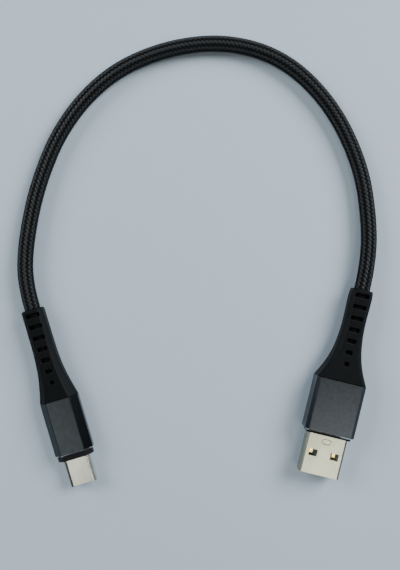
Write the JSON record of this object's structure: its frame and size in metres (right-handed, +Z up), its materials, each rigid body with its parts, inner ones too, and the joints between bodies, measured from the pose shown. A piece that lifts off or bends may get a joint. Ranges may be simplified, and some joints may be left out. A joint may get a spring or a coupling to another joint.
{
  "type": "charging cable",
  "caption": "Short braided charging cable laid in an arch, with a wide rectangular plug at one end, a slim oval plug at the other, and slotted tapered boots on both.",
  "frame": {"origin": "on the surface that the cable lies on, at the centre of the box round the two plugs with their boots", "axes": "+Z up from the surface, +X from the oval device plug to the rectangular host plug, +Y from the plugs to the top of the cord's arch"},
  "size_m": [0.108, 0.1357, 0.0078],
  "materials": {
    "satin_nickel": "satin nickel plate",
    "polished_steel": "polished plate",
    "anodised_grey": "matte anodised",
    "anodised_black": "satin anodised",
    "boot_rubber": "matte",
    "black_plastic": "matte",
    "white_plastic": "matte",
    "dark_plastic": "matte",
    "gold": "gold flash plate",
    "steel": "bright",
    "solder": "satin",
    "board_green": "solder mask",
    "ceramic_black": "glazed",
    "braid": "two-tone braid",
    "jacket": "matte",
    "foil": "foil",
    "wire_red": "satin",
    "wire_white": "satin",
    "wire_green": "satin",
    "wire_black": "satin"
  },
  "bodies": {
    "root": {"host_shell": "satin_nickel", "host_insulator": "white_plastic", "host_contacts": "gold", "host_solder_joints": "solder", "host_cable_clamp": "steel", "host_cable_end": "braid", "host_wire_red": "wire_red", "host_wire_white": "wire_white", "host_wire_green": "wire_green", "host_wire_black": "wire_black", "host_inner_body": "black_plastic", "host_housing": "anodised_grey", "host_boot": "boot_rubber", "device_shell": "polished_steel", "device_insulator": "dark_plastic", "device_contacts_upper": "gold", "device_contacts_lower": "gold", "device_latch_springs": "steel", "device_ground_pads": "steel", "device_circuit_board": "board_green", "device_resistor": "ceramic_black", "device_solder_joints": "solder", "device_cable_clamp": "steel", "device_cable_end": "braid", "device_wire_red": "wire_red", "device_wire_white": "wire_white", "device_wire_green": "wire_green", "device_wire_black": "wire_black", "device_inner_body": "black_plastic", "device_housing": "anodised_black", "device_boot": "boot_rubber", "cord_sleeve": "braid", "cord_jacket": "jacket", "cord_shield": "foil", "cord_wire_red": "wire_red", "cord_wire_white": "wire_white", "cord_wire_green": "wire_green", "cord_wire_black": "wire_black"}
  },
  "joints": []
}
